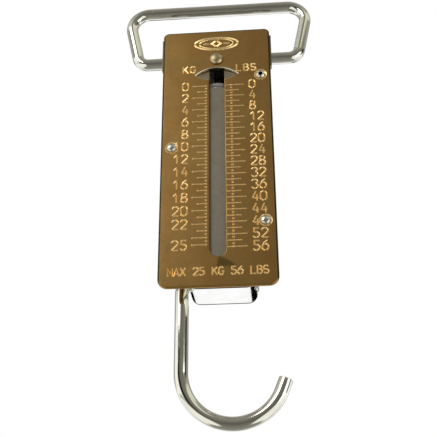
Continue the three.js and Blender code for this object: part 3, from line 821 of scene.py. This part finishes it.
plate = buildFace()
print("face plate cut:", len(plate.data.polygons), "polygons,", len(plate.data.materials), "looks")


# Rivets

rivetShape = {"mainHead": 3.8 * mm, "mainDome": 2.0 * mm, "mainShank": 2.8 * mm,
              "neck": 2.4 * mm,      # where the spring's upper loop sits
              "neckHalf": 1.5 * mm, "shoulder": 2.1 * mm,
              "smallHead": 2.5 * mm, "smallDome": 1.2 * mm, "smallShank": 1.4 * mm}


def domeProfile(radius, height, base):
    points, steps = [], 8
    for i in range(steps + 1):
        angle = math.pi / 2 * i / steps
        points.append((radius * math.sin(angle), base - height * math.cos(angle)))
    return points


def buildRivets():
    low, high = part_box("main_rivet")
    centre = ((low.x + high.x) / 2, 0, (low.z + high.z) / 2)
    base = plateFront - 0.3 * mm
    shank, tail = rivetShape["mainShank"], rivetShape["mainHead"]
    neck, neckHalf, shoulder = rivetShape["neck"], rivetShape["neckHalf"], rivetShape["shoulder"]
    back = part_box("back_housing")[1].y + 0.3 * mm
    profile = domeProfile(rivetShape["mainHead"], rivetShape["mainDome"], base)
    profile += [(shank, base), (shank, -shoulder), (neck, -neckHalf),
                (neck, neckHalf), (shank, shoulder), (shank, back),
                (tail * 0.94, back), (tail * 0.97, back + 0.3 * mm), (tail * 0.86, back + 0.8 * mm),
                (tail * 0.5, back + 1.25 * mm), (0, back + 1.4 * mm)]
    rivet = latheAround("mainRivet", profile, centre, "y", looks["rivet"], 48)
    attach(rivet, "case")
    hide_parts("main_rivet")
    for spot, name in rivetSpots():
        low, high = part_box(name)
        head = domeProfile(rivetShape["smallHead"], rivetShape["smallDome"], base)
        if name == "plate_rivet_upper":
            head = [(0, base + 1.6 * mm), (1.15 * mm, base + 1.6 * mm), (1.2 * mm, base - 0.8 * mm),
                    (1.5 * mm, base - 0.98 * mm), *head[5:]]
        pin = rivetShape["smallShank"]
        profile = head + [(pin, base), (pin, high.y - mm), (2.1 * mm, high.y - mm),
                          (1.9 * mm, high.y - 0.4 * mm), (1.2 * mm, high.y - 0.1 * mm), (0, high.y)]
        rivet = latheAround(name.replace("plate_rivet_", "faceRivet"), profile, (spot.x, 0, spot.z),
                            "y", [looks["silver"], looks["rim"]], 40)
        if name == "plate_rivet_upper":
            for polygon in rivet.data.polygons:
                near = math.hypot(polygon.center.x - spot.x, polygon.center.z - spot.z) < 1.19 * mm
                polygon.material_index = 1 if near and polygon.center.y < base + 1.7 * mm else 0
        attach(rivet, "case")
        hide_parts(name)


buildRivets()
print("rivets set")


# Handle and hook, bent from round wire

handleShape = {"halfLow": 46 * mm, "halfTop": 53.9 * mm, "lowBend": 6.5 * mm, "topBend": 10.5 * mm,
               "endHead": 4.6 * mm}


def buildHandle():
    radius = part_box("handle")[1].z / 2
    axis = joints["handle_swing"]["pos_m"][2]
    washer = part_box("handle_washer_right")
    end = washer[0].x - 0.3 * mm
    head = 1.4 * mm
    corners = [(-end + head, axis), (-handleShape["halfLow"], axis, handleShape["lowBend"]),
               (-handleShape["halfTop"], radius, handleShape["topBend"]),
               (handleShape["halfTop"], radius, handleShape["topBend"]),
               (handleShape["halfLow"], axis, handleShape["lowBend"]), (end - head, axis)]
    wire = sweepWire("wire", bentLine(corners), radius, looks["nickel"], 32)
    parts = [wire]
    for side in (-1, 1):
        outer = handleShape["endHead"]
        profile = [(0, -head), (outer * 0.7, -head), (outer * 0.93, -head * 0.75), (outer, -head * 0.4),
                   (outer * 0.97, 0), (0, 0)]
        if side < 0:
            profile = [(r, -a) for r, a in profile]
        parts.append(latheAround("head", profile, (side * end, 0, axis), "x", looks["nickel"], 40))
    handle = joined("wireHandle", parts)
    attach(handle, "handle")
    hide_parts("handle")


hookShape = {"wire": 7 * mm, "barBend": 4 * mm, "bowl": 25.2 * mm, "tipLean": 22,
             "tipLength": 5.5 * mm, "endHead": 4.7 * mm}


def buildHook():
    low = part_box("hook")[0]
    radius = hookShape["wire"] / 2
    bar = joints["hook_swing"]["pos_m"][2]
    shank = low.x + radius
    bowl = (shank + hookShape["bowl"], low.z + radius + hookShape["bowl"])
    head = 0.7 * mm
    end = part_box("draw_strap")[1].x + 0.3 * mm + head
    line = bentLine([(end, bar), (shank, bar, hookShape["barBend"]), (shank, bowl[1])])
    lean = hookShape["tipLean"]
    line += [Vector((x, 0, z)) for x, z in arc(bowl, hookShape["bowl"], 180, 360 - lean, 60)[1:]]
    away = Vector((math.sin(math.radians(lean)), 0, math.cos(math.radians(lean))))
    line += [line[-1] + away * hookShape["tipLength"] * share for share in (0.5, 1.0)]
    wire = sweepWire("wire", line, radius, looks["nickel"], 32, 0.35 * mm)
    outer = hookShape["endHead"]
    profile = [(0, -head), (outer * 0.97, -head), (outer, -head * 0.6), (outer * 0.85, -head * 0.15), (0, 0)]
    rivetEnd = latheAround("head", profile, (end, 0, bar), "x", looks["nickel"], 40)
    hook = joined("wireHook", [wire, rivetEnd])
    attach(hook, "hook")
    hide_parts("hook")


buildHandle()
buildHook()
print("handle and hook bent")


# Draw strap and index strip

# the band width in this table is for painted shade along the strap's lower back edge
strapShape = {"thickness": 1.6 * mm, "bend": 5 * mm, "edge": 0.3 * mm, "paintedShadeBand": 1.2 * mm,
              "barHole": 3.8 * mm, "pinHole": 2.7 * mm}


def buildStrap():
    low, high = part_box("draw_strap")
    bend, thick = strapShape["bend"], strapShape["thickness"]
    inner = bend - thick
    left, right = low.x, high.x
    outline = [(left, high.z)]
    outline += arc((left + bend, low.z + bend), bend, 180, 270, 14)
    outline += arc((right - bend, low.z + bend), bend, 270, 360, 14)
    outline += [(right, high.z), (right - thick, high.z)]
    outline += arc((right - bend, low.z + bend), inner, 0, -90, 14)
    outline += arc((left + bend, low.z + bend), inner, -90, -180, 14)
    outline += [(left + thick, high.z)]
    strap = prism("strapBlank", outline, low.y, high.y, looks["nickel"])
    holes = []
    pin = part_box("spring_pin")
    for radius, z in ((strapShape["barHole"], joints["hook_swing"]["pos_m"][2]),
                      (strapShape["pinHole"], (pin[0].z + pin[1].z) / 2)):
        holes.append(bore(radius, -30 * mm, 30 * mm, (0, 0, z), "x", looks["nickel"], 40))
    carve(strap, holes)
    softenEdges(strap, strapShape["edge"])
    settle(strap)
    # painted shade: a dark band along the lower back edge
    strap.data.materials.append(looks["rim"])
    band = high.y - strapShape["paintedShadeBand"]
    shape = bmesh.new()
    shape.from_mesh(strap.data)
    bmesh.ops.bisect_plane(shape, geom=[*shape.verts, *shape.edges, *shape.faces],
                           plane_co=(0, band, 0), plane_no=(0, 1, 0))
    for part in shape.faces:
        if part.calc_center_median().y > band and part.normal.z < -0.3:
            part.material_index = 1
    shape.to_mesh(strap.data)
    shape.free()
    strap.name = "drawStrap"
    smoothByAngle(strap, 35)
    flattenFaces(strap)
    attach(strap, "draw_frame")
    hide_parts("draw_strap")


stripShape = {"corner": 1.5 * mm, "rivetHole": 1.4 * mm, "edge": 0.18 * mm}


def buildIndexStrip():
    low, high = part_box("index_strip")
    corner = stripShape["corner"]
    outline = [(low.x, low.z), (high.x, low.z)]
    outline += arc((high.x - corner, high.z - corner), corner, 0, 90, 8)
    outline += arc((low.x + corner, high.z - corner), corner, 90, 180, 8)
    strip = prism("indexBlank", outline, low.y, high.y, looks["strip"])
    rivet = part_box("index_rivet")
    spot = ((rivet[0].x + rivet[1].x) / 2, 0, (rivet[0].z + rivet[1].z) / 2)
    hole = bore(stripShape["rivetHole"], low.y - mm, high.y + mm, spot, "y", looks["strip"], 24)
    carve(strip, [hole])
    softenEdges(strip, stripShape["edge"])
    settle(strip)
    strip.name = "indexStrip"
    smoothByAngle(strip, 35)
    flattenFaces(strip)
    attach(strip, "draw_frame")
    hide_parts("index_strip")


buildStrap()
buildIndexStrip()
print("draw frame dressed")


# Load spring, a close-wound coil with a loop at each end

springShape = {"wire": 2.4 * mm, "outer": 19 * mm, "turns": 28, "loop": 7 * mm, "stepsPerTurn": 20,
               "start": 0.35}  # radians from the right where the coil begins


def buildSpring():
    low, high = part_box("load_spring")
    wire, loop = springShape["wire"], springShape["loop"]
    radius = (springShape["outer"] - wire) / 2
    top = high.z - wire / 2 - 2 * loop
    bottom = low.z + wire / 2 + 2 * loop
    # the coil's centreline stays half a wire inside the ends
    coilTop, coilBottom = top - wire / 2, bottom + wire / 2
    turns = springShape["turns"] - 1
    line = []
    # upper loop stands across the width, round the main rivet
    for angle in range(200, -21, -12):
        turn = math.radians(angle)
        line.append(Vector((loop * math.cos(turn), 0, top + loop + loop * math.sin(turn))))
    line.append(Vector((radius - 0.2 * mm, -0.6 * mm, top + 1.6 * mm)))
    start = springShape["start"]
    steps = round(turns * springShape["stepsPerTurn"])
    for i in range(steps + 1):
        turn = 2 * math.pi * turns * i / steps
        height = coilTop + (coilBottom - coilTop) * i / steps
        line.append(Vector((radius * math.cos(turn + start), radius * math.sin(turn + start), height)))
    # the coil goes on to the back, where the lower loop turns down
    last = 2 * math.pi * turns + start
    for share in (0.25, 0.5, 0.75):
        turn = last + (math.pi / 2 - start) * share
        height = coilBottom - 0.4 * mm * share
        line.append(Vector((radius * math.cos(turn), radius * math.sin(turn), height)))
    line.append(Vector((0.3 * mm, radius - 0.3 * mm, bottom - 1.6 * mm)))
    for angle in range(-20, 201, 12):
        turn = math.radians(angle)
        line.append(Vector((0, loop * math.cos(turn), bottom - loop - loop * math.sin(turn))))
    spring = sweepWire("extensionSpring", line, wire / 2 * 0.97, looks["spring"], 10, 0.2 * mm)
    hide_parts("load_spring")
    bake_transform(spring)


buildSpring()
print("spring wound")


# Housing, drawn from sheet

housingShape = {"wall": 1.2 * mm, "corner": 3.6 * mm, "frontStep": 2.3 * mm, "edge": 0.35 * mm,
                "gap": 0.3 * mm}  # beside the draw strap and under the yoke


def hatOutline(half, front, back, corner):
    return [(-half, front), (half, front), *arc((half - corner, back - corner), corner, 0, 90, 10),
            *arc((-half + corner, back - corner), corner, 90, 180, 10)]


def buildHousing():
    low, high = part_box("back_housing")
    wall, corner = housingShape["wall"], housingShape["corner"]
    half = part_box("draw_strap")[1].x + housingShape["gap"] + wall
    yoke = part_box("handle_yoke")
    flangeTop = yoke[0].z - housingShape["gap"]
    body = prism("housingBlank", hatOutline(half, low.y, high.y, corner), low.z, flangeTop,
                 looks["housing"], "z")
    crown = prism("crown", hatOutline(half, low.y + housingShape["frontStep"], high.y, corner),
                  low.z + mm, high.z, looks["housing"], "z")
    brim = [(low.x, low.y), (high.x, low.y), (high.x, low.y + wall), (low.x, low.y + wall)]
    flange = prism("flange", brim, low.z, flangeTop, looks["housing"], "z")
    for extra in (crown, flange):
        union = body.modifiers.new("join", "BOOLEAN")
        union.operation = "UNION"
        union.object = extra
        settle(body)
        bpy.data.objects.remove(extra)
    inside = prism("inside", hatOutline(half - wall, low.y - 3 * mm, high.y - wall, corner - wall),
                   low.z - mm, high.z - wall, looks["housing"], "z")
    holes = [inside]
    for spot, name in rivetSpots():
        centre = (spot.x, low.y + 4 * mm, spot.z)
        holes.append(bore(face["smallRivetHole"], -6 * mm, 0, centre, "y", looks["housing"], 24))
    for name, radius in (("main_rivet", face["mainRivetHole"]),
                         ("stop_rivet_left", 1.4 * mm), ("stop_rivet_right", 1.4 * mm)):
        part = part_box(name)
        spot = (part[0] + part[1]) / 2
        centre = (spot.x, high.y, spot.z)
        holes.append(bore(radius, -4 * mm, 4 * mm, centre, "y", looks["housing"], 32))
    carve(body, holes)
    softenEdges(body, housingShape["edge"])
    settle(body)
    body.name = "backHousing"
    smoothByAngle(body, 35)
    flattenFaces(body)
    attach(body, "case")
    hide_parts("back_housing")


buildHousing()
print("housing drawn")


# The remaining parts keep their CAD meshes and take a bevel and a look

def dressRest():
    slotLooks = {"zinc_steel": "zinc", "rivet_metal": "rivet", "bright_nickel": "nickel", "brass": "brass",
                 "housing_steel": "housing", "index_steel": "strip", "spring_steel": "spring"}
    slots = {part["node"]: part["material_slot"] for part in frame["record"]["subparts"]}
    for name, node in frame["nodes"].items():
        node.data.materials.clear()
        node.data.materials.append(looks[slotLooks[slots[name]]])
        if not node.hide_render:
            softenEdges(node, 0.15 * mm)


dressRest()
print("small parts dressed")


# Room, lights and camera

room = {
    "floorBelow": 0.75,
    "floorGlow": 0.3,
    # place, size in metres and power
    "lamps": {"keyLight": ((-0.5, -0.7, 0.35), 0.5, 2.4),
              "frontLight": ((0.03, -0.4, -0.28), 0.2, 1.7),
              "fillLight": ((0.7, -0.5, -0.2), 0.5, 1.2)},
    "lampsFace": (0, 0, -0.1),
    # degrees round the width axis, from behind under the floor to the front (0), over, and behind
    "glow": [
        (-180, (1.0, 1.0, 1.04)), (-160, (1.2, 1.21, 1.3)), (-145, (1.05, 1.05, 1.08)),
        (-125, (0.5, 0.5, 0.47)), (-100, (0.3, 0.3, 0.27)), (-80, (0.26, 0.26, 0.23)),
        (-60, (0.24, 0.23, 0.2)), (-40, (0.2, 0.19, 0.165)), (-20, (0.15, 0.145, 0.12)),
        (0, (0.13, 0.128, 0.11)), (16, (0.18, 0.175, 0.15)), (24, (0.21, 0.205, 0.175)),
        (40, (0.22, 0.215, 0.185)), (50, (0.24, 0.235, 0.2)), (80, (0.36, 0.345, 0.3)),
        (100, (0.42, 0.4, 0.35)), (122, (0.4, 0.39, 0.36)), (165, (0.42, 0.42, 0.41)),
        (180, (0.9, 0.9, 0.9))],
    # soft boxes and flags: colour, then the ranges of x and z they cover, low and high
    "patches": [
        ((0.6, 0.62, 0.52), (-1.1, -0.27), (0.54, 0.76)),
        ((0.78, 0.79, 0.64), (0.2, 1.1), (0.54, 0.76)),
        ((1.1, 1.1, 1.05), (-1.1, -0.74), (-0.12, 0.34)),
        ((0.01, 0.012, 0.008), (-0.68, -0.32), (-0.05, 0.38)),
        ((0.05, 0.04, 0.025), (0.93, 1.1), (0.05, 0.36)),
        ((1.05, 1.05, 0.98), (0.32, 1.1), (-0.8, -0.24)),
        ((1.05, 1.05, 0.98), (-1.1, -0.32), (-0.8, -0.24))],
    "softness": 0.06,
    "flagsFace": (0, 0, -0.16),
    "flags": {"flagRight": ((0.27, 0.66, -0.13), (0.2, 0.5)),
              "flagRightLow": ((0.24, 0.66, -0.44), (0.2, 0.035)),
              "flagLeft": ((-0.22, 0.66, -0.04), (0.3, 0.36))},
}


def plainTone(piece, name, colour, roughness):
    tone = bpy.data.materials.new(name)
    tone.use_nodes = True
    shader = tone.node_tree.nodes["Principled BSDF"]
    shader.inputs["Base Color"].default_value = (*colour, 1)
    shader.inputs["Roughness"].default_value = roughness
    piece.data.materials.clear()
    piece.data.materials.append(tone)
    return shader


def turnTo(thing, direction):
    thing.rotation_mode = "QUATERNION"
    thing.rotation_quaternion = Vector(direction).to_track_quat("Z", "Y")


def blackFlag(name, spot, size):
    # hides part of the pale room from the bright metal
    corners = [(-0.5, -0.5, 0), (0.5, -0.5, 0), (0.5, 0.5, 0), (-0.5, 0.5, 0)]
    card = meshPiece(name, corners, [(0, 1, 2, 3)], None)
    card.scale = (size[0], size[1], 1)
    card.location = spot
    turnTo(card, Vector(room["flagsFace"]) - Vector(spot))
    shader = plainTone(card, name + "Tone", (0, 0, 0), 0.9)
    shader.inputs["Specular IOR Level"].default_value = 0.0
    card.visible_camera = False
    card.visible_shadow = False


def buildRoom():
    floor = meshPiece("floor", [(-4, -4, 0), (4, -4, 0), (4, 4, 0), (-4, 4, 0)], [(0, 1, 2, 3)], None)
    floor.location = (0, 0, -room["floorBelow"])
    shader = plainTone(floor, "paleFloor", (0.86, 0.86, 0.85), 0.8)
    shader.inputs["Emission Color"].default_value = (1, 1, 1, 1)
    shader.inputs["Emission Strength"].default_value = room["floorGlow"]
    floor.visible_glossy = False  # bright metal mirrors the soft boxes instead
    world = bpy.data.worlds.new("paleRoom")
    scene.world = world
    world.use_nodes = True
    tree = world.node_tree
    air = tree.nodes["Background"]
    # brightness by the direction's angle round the width axis, from behind, under, front, over to behind
    where = addNode(tree, "ShaderNodeTexCoord")
    parts = addNode(tree, "ShaderNodeSeparateXYZ")
    tree.links.new(where.outputs["Generated"], parts.inputs["Vector"])
    front = math2(tree, "MULTIPLY", parts.outputs["Y"], -1.0)
    angle = math2(tree, "ARCTAN2", parts.outputs["Z"], front)
    glowRamp = addNode(tree, "ShaderNodeValToRGB")
    tree.links.new(ramp(tree, angle, -math.pi, math.pi), glowRamp.inputs["Fac"])
    stops = glowRamp.color_ramp.elements
    for i, (degrees, tone) in enumerate(room["glow"]):
        stop = stops[i] if i < 2 else stops.new(0.99)
        stop.position = (degrees + 180) / 360
        stop.color = (*tone, 1)
    colour = glowRamp.outputs["Color"]
    soft = room["softness"]
    for tint, across, height in room["patches"]:
        cover = 1.0
        for axis, (low, high) in (("X", across), ("Z", height)):
            cover = math2(tree, "MULTIPLY", ramp(tree, parts.outputs[axis], low - soft, low), cover)
            cover = math2(tree, "MULTIPLY", ramp(tree, parts.outputs[axis], high + soft, high), cover)
        cover = math2(tree, "MULTIPLY", ramp(tree, parts.outputs["Y"], 0.35, 0.2), cover)
        colour = mixed(tree, cover, colour, tint)
    path = addNode(tree, "ShaderNodeLightPath")
    seen = mixed(tree, path.outputs["Is Camera Ray"], colour, (1, 1, 1))
    tree.links.new(seen, air.inputs["Color"])
    scene.view_settings.view_transform = "Standard"
    for name, (spot, size, power) in room["lamps"].items():
        lamp = bpy.data.lights.new(name, "AREA")
        lamp.size = size
        lamp.energy = power
        holder = bpy.data.objects.new(name, lamp)
        scene.collection.objects.link(holder)
        holder.location = spot
        holder.visible_glossy = name != "frontLight"  # reaches into the window, leaves the metal alone
        turnTo(holder, Vector(spot) - Vector(room["lampsFace"]))
    for name, (spot, size) in room["flags"].items():
        blackFlag(name, spot, size)


view = {"lens": 65.9, "azimuth": 4.28, "elevation": -25.84, "roll": -0.44,  # degrees
        "aimX": 0.5 * mm, "aimHeight": 36.65, "distance": 0.4044}


def buildCamera():
    lens = bpy.data.cameras.new("camera")
    lens.sensor_width = 36
    lens.lens = view["lens"]
    lens.clip_start = 0.01
    camera = bpy.data.objects.new("camera", lens)
    scene.collection.objects.link(camera)
    azimuth, elevation, roll = [math.radians(view[name]) for name in ("azimuth", "elevation", "roll")]
    level = math.cos(elevation)
    back = Vector((math.sin(azimuth) * level, -math.cos(azimuth) * level, math.sin(elevation)))
    target = Vector((view["aimX"], plateFront, fromBottom(view["aimHeight"])))
    camera.location = target + back * view["distance"]
    turn = (-back).to_track_quat("-Z", "Y").to_matrix() @ Matrix.Rotation(roll, 3, "Z")
    camera.rotation_mode = "QUATERNION"
    camera.rotation_quaternion = turn.to_quaternion()
    scene.camera = camera


buildRoom()
buildCamera()
print("room and camera set")
